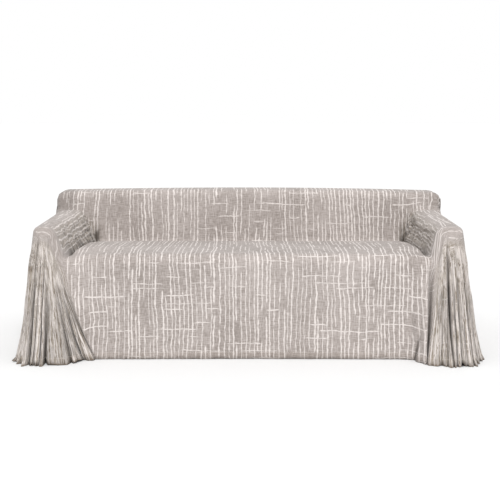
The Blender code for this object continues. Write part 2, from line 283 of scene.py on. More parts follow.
def topSheet(side, shares, steps):
    # Points from the middle out and from the front back, with their cloth coordinates, normals and shades.
    arm = rightArm if side > 0 else leftArm
    inset, backFoot, backTop = form["inset"], form["backFoot"], form["backTop"]
    seed = cover["seed"]
    alongPoints, alongDistances = softPath(
        [(inset, form["seatFront"]), (backFoot, form["seatRear"]), (form["backCrest"], backTop),
         (form["depth"] - inset, backTop)],
        [form["footRound"], form["crestRound"]],
    )
    back = stations(steps, alongDistances[-1])
    y = np.interp(back, alongDistances, alongPoints[:, 0])
    backZ = np.interp(back, alongDistances, alongPoints[:, 1])
    seatZ = np.interp(y, [inset, backFoot], [form["seatFront"], form["seatRear"]])
    foot = np.interp(y, [inset, backFoot], [arm["footFront"], arm["footRear"]])
    crest = np.interp(y, [inset, backFoot], [arm["crestFront"], arm["crestRear"]])
    armRise = form["armTop"] - seatZ
    share = stations(shares, 1.0)
    x, rise, out = (np.zeros((len(share), len(back))) for _ in range(3))
    for k in range(len(back)):
        points, distances = softPath([(0, 0), (foot[k], 0), (crest[k], armRise[k]), (frontRun, armRise[k])],
                                     [form["footRound"], form["armRound"]])
        out[:, k] = share * distances[-1]
        x[:, k] = np.interp(out[:, k], distances, points[:, 0])
        rise[:, k] = np.interp(out[:, k], distances, points[:, 1])
    share, lift = share[:, None], backZ - seatZ

    spread = smoothStep((lift - 0.05) / (0.9 * (backTop - form["seatRear"])))
    x = x * (1.0 - spread) + spread * share * frontRun  # above the arms the cloth opens out evenly
    slack = np.clip(1.0 - np.abs(rise - lift) / arm["bridge"], 0.0, 1.0) ** 2 * arm["bridge"] / 4
    slack = slack * smoothStep(np.minimum(rise, lift) / 0.03)
    crown = form["seatCrown"] * (1.0 - (x / form["crownHalf"]) ** 12)
    crown = crown * np.clip((backFoot - y) / form["crownFade"], 0, 1) ** 0.7
    bulge = smoothStep((form["sideCrownTo"] - x) / 0.03) * smoothStep((x - form["sideCrownFrom"]) / 0.25)
    crown = crown + form["sideCrown"] * bulge * smoothStep((y - 0.06) / 0.12) * smoothStep((0.72 - y) / 0.35)
    crown = crown * (1.0 - smoothStep(np.maximum(rise, lift) / 0.05))
    z = seatZ + np.maximum(rise, lift) + slack + np.maximum(crown, 0.0)
    z = z - arm["sag"] * x ** 2 * smoothStep((lift - 0.17) / 0.08)

    low = 1.0 - smoothStep(lift / form["seatLift"])
    fromFoot = out - foot
    tuck = bell(fromFoot, cover["grooveAt"], cover["grooveWidth"]) * low * smoothStep((y - 0.02) / 0.08)
    z = z - cover["groove"] * tuck * (0.8 + 0.5 * softNoise(back * 9, side * 3.1, seed))
    z = z - cover["rearGroove"] * bell(back, backFoot - inset - 0.004, 0.012) * (1 - smoothStep(rise / 0.05))
    points = np.stack([x, y + 0.0 * x, z], axis=-1)

    onBack = smoothStep(lift / 0.08)
    uv = np.stack([out * (1 - onBack) + x * onBack, back + 0.0 * out], axis=-1)

    # Puckers, pushed along the normal. They run with the cloth's length, and on an arm from front to back.
    onFace = smoothStep((rise - 0.015) / 0.04) * (1.0 - smoothStep((rise - armRise + 0.03) / 0.03)) * low
    push = cover["crinkle"] * softNoise(out * 34 * side, back * 5, seed + 1)
    push = push + 0.8 * cover["crinkle"] * softNoise(out * 11 * side, back * 8, seed + 2)
    sway = 0.35 * softNoise(back * 7, out * 3 * side, seed + 6)
    folds = creases(out * cover["armRate"] * side + sway * 5, back * 9, seed + 3)
    push = push + cover["armCrease"] * onFace * folds
    uv[..., 0] += cover["armSway"] * onFace * softNoise(back * 30, out * 16 * side, seed + 12)
    reach = np.where(fromFoot > 0, 0.055, 0.022)
    footBand = np.exp(-((fromFoot / reach) ** 2)) * low * smoothStep((y - 0.08) / 0.2)
    gathers = creases(back * cover["gatherRate"] + out * 10, out * 9 * side, seed + 4)
    push = push + cover["gather"] * footBand * gathers * arm["gathers"]
    corner = bell(out, 0.93, 0.09) * bell(lift, 0.04, 0.07) * smoothStep((y - 0.5) / 0.15)
    cornerFolds = creases(out * cover["cornerRate"] * side, back * 26, seed + 5)
    push = push + cover["cornerCrease"] * corner * cornerFolds
    level = smoothStep(back / 0.03) * smoothStep((alongDistances[-1] - back) / 0.03)
    level = level * smoothStep((1.0 - share) / 0.02) * smoothStep(share / 0.02)  # smooth where sheets meet
    normal = unit(np.cross(np.gradient(points, axis=0), np.gradient(points, axis=1)))
    points = points + normal * (push * level)[..., None]

    creased = np.clip(0.45 * onFace + 0.5 * footBand + 0.6 * corner, 0, 1)
    # Painted shade: darker in the tuck along an arm's foot, in the creases and gathers of its inner face, in
    # the corner where it meets the back, and at the back's ends.
    hollow = 0.85 * tuck * smoothStep((y - 0.06) / 0.12) + arm["faceShade"] * 0.45 * onFace * np.clip(-folds, 0, 1)
    hollow = hollow + arm["faceShade"] * footBand * np.clip(0.1 - gathers, 0, 1)
    hollow = hollow + corner * (0.20 + 0.65 * np.clip(-cornerFolds, 0, 1))
    hollow = np.clip(np.maximum(hollow, arm["endShade"] * onBack * smoothStep((x - 0.91) / 0.07)), 0, 1)
    shades = np.stack([creased, hollow, np.zeros_like(hollow), np.ones_like(hollow)], axis=-1)
    return points, uv, normal, shades, back


def ringFrame(place):  # base point and outward direction at a place on the ring
    turn = np.clip((place - frontRun) / cornerRun, 0, 1) + np.clip((place - rearCorner) / cornerRun, 0, 1)
    angle = turn * math.pi / 2
    baseX = np.clip(place, 0, frontRun) - np.clip(place - rearStart, 0, frontRun)
    baseY = form["inset"] + np.clip(place - sideStart, 0, sideRun)
    return np.stack([baseX, baseY], -1), np.stack([np.sin(angle), -np.cos(angle)], -1)


def smallFolds(folds, seed):  # small valleys between the large ones, closest together at the corners
    picker = np.random.default_rng(seed)
    tops, floors = np.array(folds)[:, 0], np.array(folds)[:, 1]
    found = []
    floor = floors[0] + 0.008
    while floor < 2.50:
        gathered = gatherAt(floor, folds)
        if gathered > 0.15:
            ends = [np.interp(floor + step, [0.0, *floors, ringLength], [0.0, *tops, ringLength])
                    for step in (-0.01, 0.01)]
            depth = cover["minorDepth"] * picker.uniform(0.45, 1.25) * gathered
            found.append((sum(ends) / 2, floor + picker.uniform(-0.006, 0.006), picker.uniform(0.9, 1.3),
                          picker.uniform(0.02, 0.18), depth, picker.uniform(0.007, 0.013),
                          min(1.0, (ends[1] - ends[0]) / 0.02)))
        floor += cover["minorSpacing"] * picker.uniform(0.6, 1.4) / max(gathered, 0.3)
    return found


def panelEdge(folds):  # the valley that bounds the front panel
    return min(folds[:2], key=lambda row: row[3])


def gatherAt(place, folds):  # how much spare cloth hangs at a place on the ring
    front = smoothStep((place - panelEdge(folds)[1] + 0.010) / 0.04)
    front = front * (1 - smoothStep((place - cover["cornerEnd"]) / 0.25))
    return front + cover["rearGather"] * bell(place, cover["rearMiddle"], cover["rearWidth"])


def skirt(edge, edgeNormals, edgePlace, edgeBack, folds, side):
    # A column of points at each place on the ring, with their shades.
    seed = cover["seed"]
    arm = rightArm if side > 0 else leftArm
    flarePlace, flareLeft, flareRight, shoulder, flareRadius = np.array(flare).T
    flareOut = flareRight if side > 0 else flareLeft
    topPlace = stations(cover["ringSteps"], ringLength)
    anchors = between(topPlace, edgePlace, edge)
    facing = unit(between(topPlace, edgePlace, edgeNormals))
    backAt = np.interp(topPlace, edgePlace, edgeBack)
    tops, floors = np.array(folds)[:, 0], np.array(folds)[:, 1]
    floorPlace = np.interp(topPlace, [0.0, *tops, ringLength], [0.0, *floors, ringLength])
    gathered = gatherAt(floorPlace, folds)
    radius = np.interp(topPlace, flarePlace, flareRadius)
    flat = form["inset"] - radius
    roundLength = radius * math.pi / 2
    straight = anchors[:, 2] - radius * facing[:, 2]
    lengths = flat + roundLength + straight
    every = [(*row[:4], row[4] * cover["valleyDepth"], row[5] * cover["valleyReach"], 1.0) for row in folds]
    every += smallFolds(folds, seed + side)
    seam = smoothStep(topPlace / 0.05) * smoothStep((ringLength - topPlace) / 0.10)  # the halves meet
    endFrom, endTo = cover["backEnd"]
    atEnd = smoothStep((backAt - endFrom) / 0.05) * smoothStep((endTo - backAt) / 0.04)

    falls = np.linspace(0.0, 1.0, cover["fallSteps"] + 1)[1:]
    falls = 0.55 * falls + 0.45 * falls ** 1.6  # closer together over the edge
    rows, paintedShades = [], []
    for fall in falls:
        run = fall * lengths
        overEdge = np.clip((run - flat) / radius, 0, math.pi / 2)
        bend = radius * (1 - np.cos(overEdge))
        down = bend * facing[:, 2] + np.maximum(run - flat - roundLength, 0.0)
        progress = down / anchors[:, 2]
        travel = progress ** cover["drift"]
        place = topPlace + (floorPlace - topPlace) * travel
        standsOut = 0.92 * np.clip((progress - 0.05) / 0.95, 0, 1) + 0.08 * progress ** 10  # most at the hem
        out = np.minimum(run, flat) + (radius + np.interp(place, flarePlace, shoulder)) * np.sin(overEdge)
        out = out + standsOut * np.interp(place, flarePlace, flareOut)

        # Each valley sinks in, gets painted shade and draws the cloth beside it together.
        shift, hollow = np.zeros_like(place), np.zeros_like(place)
        for top, floor, late, opens, depth, reach, squeeze in every:
            valley = top + (floor - top) * progress ** late
            grown = smoothStep((progress - opens) / (1.0 - opens) * 0.75 + 0.25 * (progress > opens))
            grown = grown * smoothStep((progress - opens) / 0.15)
            scale = squeeze + (1.0 - squeeze) * travel
            away = (place - valley) / (reach * scale)
            out = out - depth * scale * grown * np.clip(1.0 - np.abs(away), 0.0, 1.0) ** cover["valleyShape"]
            wide = 0.82 if depth > 0.052 else 0.66 if depth > 0.030 else 0.58
            inside = grown * smoothStep((wide - np.abs(away)) / 0.40)
            hollow = np.maximum(hollow, inside * min(1.0, 0.12 + depth / 0.045))
            nearness = np.exp(-cover["pinchShape"] * away ** 2)
            shift = shift - cover["pinch"] * grown * away * reach * scale * nearness

        grow = smoothStep((progress - 0.05) / 0.22) * seam
        slow = softNoise(topPlace * cover["waveRate"] * side, progress * 2.0 + topPlace * 3, seed + 7)
        narrow = creases(topPlace * cover["creaseRate"] * side + 1.2 * progress, progress * 3.6, seed + 8)
        out = out + grow * cover["wave"] * slow * (0.25 + 0.75 * smoothStep((topPlace - 0.7) / 0.2))
        out = out + grow * cover["crease"] * narrow * (0.10 + 0.90 * np.clip(gathered, 0, 1))
        # painted shade in the valleys of the narrow creases
        hollow = np.maximum(hollow, 0.45 * grow * gathered * smoothStep((-0.4 - narrow) / 0.45))

        # Painted shade over the upright ends of the back, and in the valleys of their scallops.
        ends = atEnd * smoothStep((cover["endReach"] - run) / 0.06)
        hollow = np.maximum(hollow, arm["endShade"] * ends)
        ends = ends * smoothStep(run / 0.03)
        crimps = softNoise(backAt * cover["crimpRate"], run * 12 * side, seed + 10)
        out = out + cover["crimp"] * ends * crimps
        ends = ends * smoothStep((run - 0.04) / 0.04)
        hollow = np.maximum(hollow, ends * np.clip(0.58 - 0.9 * crimps, 0, 0.9))

        curl = smoothStep((progress - cover["curlFrom"]) / 0.07) ** 2
        curl = seam * curl * (0.15 + np.clip(gathered, 0, 1))
        turned = softNoise(topPlace * cover["curlRate"] * side, 0.5, seed + 9)
        lifted = np.clip(softNoise(topPlace * cover["liftRate"] * side, 3.5, seed + 9), 0, 1)
        out = out + cover["hemCurl"] * curl * turned
        # Painted shade where the curling hem turns in.
        hollow = np.maximum(hollow, curl * np.clip(-1.3 * turned, 0, 1))

        _, direction = ringFrame(place + shift * seam)
        floorBase, _ = ringFrame(floorPlace + shift * seam)
        base = anchors[:, :2] + (floorBase - anchors[:, :2]) * travel[:, None]
        spot = base + direction * out[:, None] - facing[:, :2] * (bend * (1 - travel))[:, None]
        height = anchors[:, 2] - down + cover["hemLift"] * cover["hemCurl"] * curl * lifted
        rows.append(np.column_stack([spot, height]))
        paintedShades.append(np.clip(hollow, 0, 1))

    below = falls - cover["smoothUntil"]
    creased = gathered[:, None] * smoothStep(below / 0.07)
    smooth = smoothStep((topPlace - cover["smoothFrom"]) / 0.04)
    smooth = smooth * smoothStep((cover["smoothTo"] - topPlace) / 0.08)
    smooth = smooth[:, None] * smoothStep(-below / 0.04)
    aboveHem = (1 - falls) * lengths[:, None]
    shades = np.stack([creased, np.stack(paintedShades, axis=1), smooth, aboveHem], axis=-1)
    return topPlace, np.stack(rows, axis=1), shades, falls, lengths, anchors[:, 2], backAt


def clothCoordinates(topPlace, grid, falls, lengths, topZ, backAt, folds):
    # Where each point of the skirt lies on the flat cloth, in metres.
    run = falls[None, :] * lengths[:, None]
    hemArc = np.concatenate([[0.0], np.cumsum(np.linalg.norm(np.diff(grid[:, -1], axis=0), axis=1))])
    folded = smoothStep((topPlace - 0.80) / 0.12)
    middle = (folded[1:] + folded[:-1]) / 2
    steps = (1 - middle) * np.diff(topPlace) + middle * cover["fullness"] * np.diff(hemArc)
    along = np.concatenate([[0.0], np.cumsum(steps)])[:, None]
    endU = np.interp(sideStart, topPlace, along[:, 0])
    fromRear = np.clip(rearStart - topPlace, -9.0, cornerRun)[:, None]
    top, floor, late = panelEdge(folds)[:3]
    progress = np.clip(1.0 - grid[:, :, 2] / topZ[:, None], 0.0, 1.0)
    offPanel = smoothStep((grid[:, :, 0] - top - (floor - top) * progress ** late) / 0.012 + 0.5)
    offPanel = np.where(topPlace[:, None] > 0.95, 1.0, offPanel)
    spread = smoothStep(run / 0.22) * offPanel  # just under the edge the cloth is smooth too
    front = np.stack([along * spread + np.maximum(grid[:, :, 0], 0) * (1 - spread), -run], axis=-1)
    flank = np.stack([endU + run, backAt[:, None] + 0.0 * run], axis=-1)
    rear = np.stack([frontRun + 1.3 * np.maximum(fromRear, 0) + np.minimum(fromRear, 0) + 0.0 * run,
                     backAt.max() + run], axis=-1)
    toFlank = smoothStep((topPlace - cover["flankFrom"]) / 0.22)[:, None, None]
    toRear = smoothStep((topPlace - cover["rearFrom"]) / 0.24)[:, None, None]
    uv = front * (1 - toFlank) + flank * toFlank
    return uv * (1 - toRear) + rear * toRear


class Sheet:  # points with their shades, and faces, as they are added
    def __init__(self):
        self.points, self.shades, self.faces, self.faceUvs, self.shared = [], [], [], [], {}

    def addPoints(self, part, points, shades, seams, side):  # the two halves share the points of their seams
        numbers = []
        for i, line in enumerate(points * (side, 1, 1)):
            numbers.append([])
            for j, point in enumerate(line):
                number = self.shared.get((part, i, j), len(self.points))
                if number == len(self.points):
                    self.points.append(tuple(point))
                    self.shades.append(shades[i, j])
                if i in seams:
                    self.shared[part, i, j] = number
                numbers[-1].append(number)
        return numbers

    def addFace(self, corners, side):  # corners are (number, uv) pairs
        corners = [c for k, c in enumerate(corners) if c[0] != corners[k - 1][0]]
        if len(corners) > 2:
            self.faces.append([number for number, _ in corners[::side]])
            self.faceUvs.extend((side * uv[0], uv[1]) for _, uv in corners[::side])

    def addGrid(self, numbers, uv, side):
        for i in range(len(numbers) - 1):
            for j in range(len(numbers[0]) - 1):
                around = ((i, j), (i + 1, j), (i + 1, j + 1), (i, j + 1))
                self.addFace([(numbers[a][b], uv[a][b]) for a, b in around], side)

    def joinRows(self, first, second, side):
        # A strip between two rows of unlike spacing. A spot is its place, number and uv.
        first, second = first + [(99.0, None, None)], second + [(99.0, None, None)]  # past every place
        i = j = 0
        while i < len(first) - 2 or j < len(second) - 2:
            nextFirst, nextSecond = first[i + 1][0], second[j + 1][0]
            moveFirst, moveSecond = nextFirst < nextSecond + 1e-5, nextSecond < nextFirst + 1e-5
            corners = [first[i], *second[j:j + 1 + moveSecond], *first[i + 1:i + 1 + moveFirst]]
            self.addFace([(number, uv) for _, number, uv in corners], side)
            i, j = i + moveFirst, j + moveSecond


def coverSheet():
    sheet, hemRow = Sheet(), {}
    for side, folds in ((1, rightFolds), (-1, leftFolds)):
        grids = []
        for part, seams in (("seat", (0,)), ("arm", ())):
            points, uv, normal, shades, back = topSheet(side, cover[part + "Shares"], cover[part + "Steps"])
            numbers = sheet.addPoints(part, points, shades, seams, side)
            sheet.addGrid(numbers, uv, side)
            grids.append((points, uv, normal, numbers, back))
        (_, seatUv, _, seatNumbers, seatBack), (arm, armUv, armNormal, armNumbers, armBack) = grids
        sheet.joinRows(list(zip(seatBack, seatNumbers[-1], seatUv[-1])),
                       list(zip(armBack, armNumbers[0], armUv[0])), side)

        # The edge that the skirt hangs from: front, side, rear. Each corner point stands for its whole turn.
        front, rear = ([(points[i, j, 0], points[i, j], normal[i, j], numbers[i][j], back[j])
                        for points, _, normal, numbers, back in grids for i in range(len(points))]
                       for j in (0, -1))
        edge = front + [(sideStart + arm[-1, j, 1] - form["inset"], arm[-1, j], armNormal[-1, j],
                         armNumbers[-1][j], armBack[j]) for j in range(len(armBack))]
        edge += [(rearStart + frontRun - x, *others) for x, *others in rear[::-1]]
        edgePlace, edgePoints, edgeNormals, edgeBack = (
            np.array([spot[k] for spot in edge]) for k in (0, 1, 2, 4))

        topPlace, grid, shades, falls, lengths, topZ, backAt = skirt(
            edgePoints, edgeNormals, edgePlace, edgeBack, folds, side)
        uv = clothCoordinates(topPlace, grid, falls, lengths, topZ, backAt, folds)
        numbers = sheet.addPoints("skirt", grid, shades, (0, len(topPlace) - 1), side)
        sheet.addGrid(list(zip(*numbers)), uv.transpose(1, 0, 2), side)  # rows first: it faces outwards
        start = uv[:, 0] + (uv[:, 0] - uv[:, 1]) * falls[0] / (falls[1] - falls[0])
        topUv = between(edgePlace, topPlace, start)
        sheet.joinRows([(spot[0], spot[3], topUv[k]) for k, spot in enumerate(edge)],
                       [(topPlace[k], numbers[k][0], uv[k, 0]) for k in range(len(topPlace))], side)
        hemRow[side] = (grid, falls, lengths)
    return sheet, hemRow


def linear(hexColour):
    channels = [int(hexColour[k:k + 2], 16) / 255 for k in (1, 3, 5)]
    return tuple(c / 12.92 if c <= 0.04045 else ((c + 0.055) / 1.055) ** 2.4 for c in channels) + (1.0,)


def addNode(tree, kind, *inputs, output=0, named=None, **settings):  # a node with its settings and links
    node = tree.nodes.new(kind)
    for name, value in settings.items():
        setattr(node, name, value)
    sockets = list(zip(node.inputs, inputs))
    sockets += [(node.inputs[name], value) for name, value in (named or {}).items()]
    for socket, value in sockets:
        if isinstance(value, bpy.types.NodeSocket):
            tree.links.new(value, socket)
        elif value is not None:
            socket.default_value = value
    return node.outputs[output] if len(node.outputs) else node


def addObject(name, data):
    item = bpy.data.objects.new(name, data)
    bpy.context.scene.collection.objects.link(item)
    return item


def plainMaterial(name, values):
    material = bpy.data.materials.new(name)
    material.use_nodes = True
    for socket, value in values.items():
        material.node_tree.nodes["Principled BSDF"].inputs[socket].default_value = value
    return material


jacquard = dict(
    ground="#a39b97",
    groundShade="#827a75",
    thread="#cfc8c4",
    hemTone="#6f5d4b",        # the turned hem is a little darker, most at its lower edge
    warmBounce="#b3a999",       # a warmer, lighter tone over the gathered cloth: painted warm bounce light in its shade
    crease="#5c4e3e",      # painted shade in the valleys of its fine creases
    hollow="#2c2319",      # painted shade in the depths of the folds, darker still
    warmBounceShare=0.45,       # how much of a colour shows where it lies
    creaseShare=0.75,
    paintedShadeShare=0.85,
    bandShare=0.12,        # of the darker tone over the turned hem
    edgeShare=(0.05, 0.65),  # and at its edge, where the cloth is smooth and where it is gathered
    edgeWidth=0.009,
    lengthwise=dict(       # the raised lines that run with the cloth's length
        spacing=0.0208,    # mean distance between them
        width=0.0037,      # half the width of one
        breaks=4.2,        # how quickly a line starts and stops, per metre
        bare=0.42,         # more of this, fewer lines
        gatheredBare=-0.24,    # added where the cloth is gathered
        smoothBare=0.5,        # and where an arm's front is smooth
        gatheredWidth=1.5,     # the lines puff up where it is gathered
        seed=3.0,
    ),
    crosswise=dict(
        spacing=0.034, width=0.0030, breaks=5.0, bare=0.560, gatheredBare=0.05, smoothBare=-0.22,
        gatheredWidth=1.0, seed=8.0,
    ),
    # How far the lines waver, slowly and quickly: reach, bumps in a metre, detail, layer of the noise.
    waver=((0.045, (4.0, 2.6, 0.0), 1.0, 0.3), (0.013, (16.0, 22.0, 0.0), 2.0, 1.7)),
    offset=(0.24, 0.76),   # where a line may lie in its own share of the cloth
    patchy=(-0.07, 0.07),  # how much the number of strokes changes from patch to patch
    ownWidth=(0.60, 1.15),  # narrowest and widest line
    slub=(0.55, 1.25),     # and how much each varies along itself
    slubRate=46.0,
    soft=0.0030,           # fuzzy edge of a line
    puffStripesAndHighlights=0.80,            # off-white stripes where the gathered cloth puffs up between its creases: partly bunched floats, partly painted highlight
    upper=(0.26, 0.44),    # heights between which the fine creases turn straight down
    threadPitch=0.0042,    # the real threads are 0.6 mm apart, too fine to show, so they are drawn coarser
    floatHeight=0.0007,
    weaveHeight=0.0006,
    creaseHeight=(0.0012, 0.0150),  # where the cloth is smooth and where it is gathered
    roughness=0.92,
    sheen=0.15,
)


def brokenLines(tree, cloth, creased, smooth, lines):
    # Lines a spacing apart across the first coordinate, wavering, each broken into strokes of its own length.
    seed, spacing, bare = lines["seed"], lines["spacing"], lines["bare"]
    wavered = cloth
    for reach, stretch, detail, layer in jacquard["waver"]:
        noise = addNode(tree, "ShaderNodeTexNoise", addNode(
            tree, "ShaderNodeVectorMath", cloth, stretch, (seed, seed, layer), operation="MULTIPLY_ADD"),
            0.0, 1.0, detail, output=1)
        wavered = addNode(tree, "ShaderNodeVectorMath", noise, (reach, 0.0, 0.0), wavered,
                          operation="MULTIPLY_ADD")
    across = addNode(tree, "ShaderNodeSeparateXYZ", wavered)
    along = addNode(tree, "ShaderNodeSeparateXYZ", cloth, output=1)
    cells = addNode(tree, "ShaderNodeMath", across, spacing, operation="DIVIDE")
    cell = addNode(tree, "ShaderNodeMath", cells, operation="FLOOR")
    own = addNode(tree, "ShaderNodeMath", cell, seed * 13.7, operation="ADD")
    own = addNode(tree, "ShaderNodeTexWhiteNoise", None, own, noise_dimensions="1D", output=1)
    own = addNode(tree, "ShaderNodeSeparateColor", own).node.outputs
    offset = addNode(tree, "ShaderNodeMapRange", own[0], 0.0, 1.0, *jacquard["offset"])
    distance = cells
    for operation, value in (("FRACT", None), ("SUBTRACT", offset), ("ABSOLUTE", None),
                             ("MULTIPLY", spacing)):
        distance = addNode(tree, "ShaderNodeMath", distance, value, operation=operation)

    # Each line has its strokes, with fewer in some patches, and slubs that vary its width.
    strokes, slub = (
        addNode(tree, "ShaderNodeTexNoise", addNode(
            tree, "ShaderNodeCombineXYZ",
            addNode(tree, "ShaderNodeMath", cell, step, start, operation="MULTIPLY_ADD"),
            addNode(tree, "ShaderNodeMath", along, rate, operation="MULTIPLY"), seed), 0.0, 1.0, 1.0)
        for step, start, rate in ((7.31, seed, lines["breaks"]), (3.17, 0.0, jacquard["slubRate"])))
    fewer = addNode(tree, "ShaderNodeMath", creased, lines["gatheredBare"], operation="MULTIPLY")
    fewer = addNode(tree, "ShaderNodeMath", smooth, lines["smoothBare"], fewer, operation="MULTIPLY_ADD")
    patch = addNode(tree, "ShaderNodeTexNoise", cloth, seed, 1.7, 1.0, noise_dimensions="4D")
    level = addNode(tree, "ShaderNodeMapRange", patch, 0.3, 0.7, *(bare + k for k in jacquard["patchy"]))
    level = addNode(tree, "ShaderNodeMath", level, fewer, operation="ADD")
    presence = addNode(tree, "ShaderNodeMath", strokes, level, operation="SUBTRACT")
    presence = addNode(tree, "ShaderNodeMapRange", presence, -0.015, 0.045, interpolation_type="SMOOTHSTEP")
    width = (k * lines["width"] for k in jacquard["slub"])
    width = addNode(tree, "ShaderNodeMapRange", slub, 0.3, 0.7, *width)
    for factor in (addNode(tree, "ShaderNodeMapRange", own[1], 0.0, 1.0, *jacquard["ownWidth"]),
                   addNode(tree, "ShaderNodeMapRange", creased, 0.0, 1.0, 1.0, lines["gatheredWidth"]),
                   presence):
        width = addNode(tree, "ShaderNodeMath", width, factor, operation="MULTIPLY")
    body = addNode(tree, "ShaderNodeMath", distance, width, operation="SUBTRACT")
    body = addNode(tree, "ShaderNodeMapRange", body, 0.45 * jacquard["soft"], -0.85 * jacquard["soft"],
                   interpolation_type="SMOOTHSTEP")
    return addNode(tree, "ShaderNodeMath", body, presence, operation="MULTIPLY")


def jacquardMaterial():
    # Cotton jacquard, woven with off-white floats on a greige ground: matt, soft sheen, a slubby weave.
    material = bpy.data.materials.new("cottonJacquard")
    material.use_nodes = True
    tree = material.node_tree
    tree.nodes.clear()
    cloth = addNode(tree, "ShaderNodeUVMap", uv_map="clothMetres")
    none = (0.0, 0.0, 0.0)
    turned = addNode(tree, "ShaderNodeVectorRotate", cloth, none, None, math.pi / 2, rotation_type="Z_AXIS")
    creased, smooth, hollow, aboveHem = (
        addNode(tree, "ShaderNodeAttribute", attribute_name=name, output=2)
        for name in ("creased", "smooth", "hollow", "aboveHem"))
    lengthwise = brokenLines(tree, cloth, creased, smooth, jacquard["lengthwise"])
    crosswise = brokenLines(tree, turned, creased, smooth, jacquard["crosswise"])
    floats = addNode(tree, "ShaderNodeMath", lengthwise, crosswise, operation="MAXIMUM")

    # Fine creases run with the fall, too narrow for the mesh: bump, and painted shade in their valleys.
    # Near the upper edge the cloth is drawn so close together that they run straight down there.
    spot = addNode(tree, "ShaderNodeSeparateXYZ", addNode(tree, "ShaderNodeTexCoord", output=3)).node.outputs
    high = addNode(tree, "ShaderNodeMapRange", spot[2], *jacquard["upper"], interpolation_type="SMOOTHSTEP")
    upper = addNode(tree, "ShaderNodeCombineXYZ", addNode(
        tree, "ShaderNodeMath", spot[1], 0.6, spot[0], operation="MULTIPLY_ADD"), spot[2])
    thread = 1.0 / jacquard["threadPitch"]
    warp, weft, fine, fineUpper, puffStripesAndHighlights, puffStripesAndHighlightsUpper = (
        addNode(tree, "ShaderNodeTexNoise", addNode(
            tree, "ShaderNodeVectorMath", where, stretch, offset, operation="MULTIPLY_ADD"), 0.0, 1.0, detail)
        for where, stretch, offset, detail in (
            (cloth, (thread, 28.0, 0.0), none, 2.0),
            (cloth, (28.0, thread, 0.0), none, 2.0),
            (cloth, (95.0, 13.0, 0.0), none, 2.0),
            (upper, (96.0, 9.0, 0.0), none, 2.0),
            (cloth, (88.0, 12.0, 0.0), (5.3, 0.7, 2.1), 1.0),
            (upper, (112.0, 10.0, 0.0), (1.9, 4.7, 3.3), 1.0)))
    ridges = addNode(tree, "ShaderNodeMix", high, None, fine, fineUpper)
    ridges = addNode(tree, "ShaderNodeMath", ridges, 0.5, operation="SUBTRACT")
    ridges = addNode(tree, "ShaderNodeMath", ridges, operation="ABSOLUTE")
    valley = addNode(tree, "ShaderNodeMapRange", ridges, 0.075, 0.0, interpolation_type="SMOOTHSTEP")
    valley = addNode(tree, "ShaderNodeMath", valley, creased, operation="MULTIPLY")
    # Off-white stripes on the gathered cloth: partly its bunched floats, partly painted highlight where it
    # puffs up.
    puffStripesAndHighlights = addNode(tree, "ShaderNodeMix", high, None, puffStripesAndHighlights, puffStripesAndHighlightsUpper)
    puffStripesAndHighlights = addNode(tree, "ShaderNodeMapRange", puffStripesAndHighlights, 0.50, 0.56, interpolation_type="SMOOTHSTEP")
    puffStripesAndHighlights = addNode(tree, "ShaderNodeMath", addNode(
        tree, "ShaderNodeMapRange", creased, 0.7, 1.0, 0.0, jacquard["puffStripesAndHighlights"]), puffStripesAndHighlights, operation="MULTIPLY")
    floats = addNode(tree, "ShaderNodeMath", floats, puffStripesAndHighlights, operation="MAXIMUM")
    weave = addNode(tree, "ShaderNodeMath", warp, weft, operation="ADD")
    weave = addNode(tree, "ShaderNodeMath", weave, 0.5, operation="MULTIPLY")
    cloud = addNode(tree, "ShaderNodeTexNoise", cloth, 0.0, 3.0, 3.0)

    # How much of each colour shows, one laid over the other.
    tone = addNode(tree, "ShaderNodeMath", addNode(
        tree, "ShaderNodeMath", weave, 0.75, operation="MULTIPLY"), addNode(
        tree, "ShaderNodeMath", cloud, 0.25, operation="MULTIPLY"), operation="ADD")
    tone = addNode(tree, "ShaderNodeMapRange", tone, 0.38, 0.60, interpolation_type="SMOOTHSTEP")
    # Painted light and shade: a warm bounce tint over the gathered cloth, shade in its fine creases and in
    # the folds' depths.
    warmBounce, dark, deep = (
        addNode(tree, "ShaderNodeMath", where, jacquard[share], operation="MULTIPLY")
        for where, share in ((creased, "warmBounceShare"), (valley, "creaseShare"), (hollow, "paintedShadeShare")))
    raised = addNode(tree, "ShaderNodeMath", floats, addNode(
        tree, "ShaderNodeMapRange", weave, 0.35, 0.65, 0.70, 1.0), operation="MULTIPLY")
    band = addNode(tree, "ShaderNodeMapRange", aboveHem, cover["hemWidth"], cover["hemWidth"] - 0.002, 0.0,
                   jacquard["bandShare"])
    edge = addNode(tree, "ShaderNodeMapRange", aboveHem, jacquard["edgeWidth"], 0.0, 0.0, addNode(
        tree, "ShaderNodeMapRange", creased, 0.0, 1.0, *jacquard["edgeShare"]))
    hemDarkening = addNode(tree, "ShaderNodeMath", band, edge, operation="ADD")
    colour = linear(jacquard["groundShade"])
    for share, name in ((tone, "ground"), (warmBounce, "warmBounce"), (dark, "crease"), (raised, "thread"),
                        (deep, "hollow"), (hemDarkening, "hemTone")):
        colour = addNode(tree, "ShaderNodeMix", share, *[None] * 5, colour, linear(jacquard[name]), output=2,
                         data_type="RGBA")

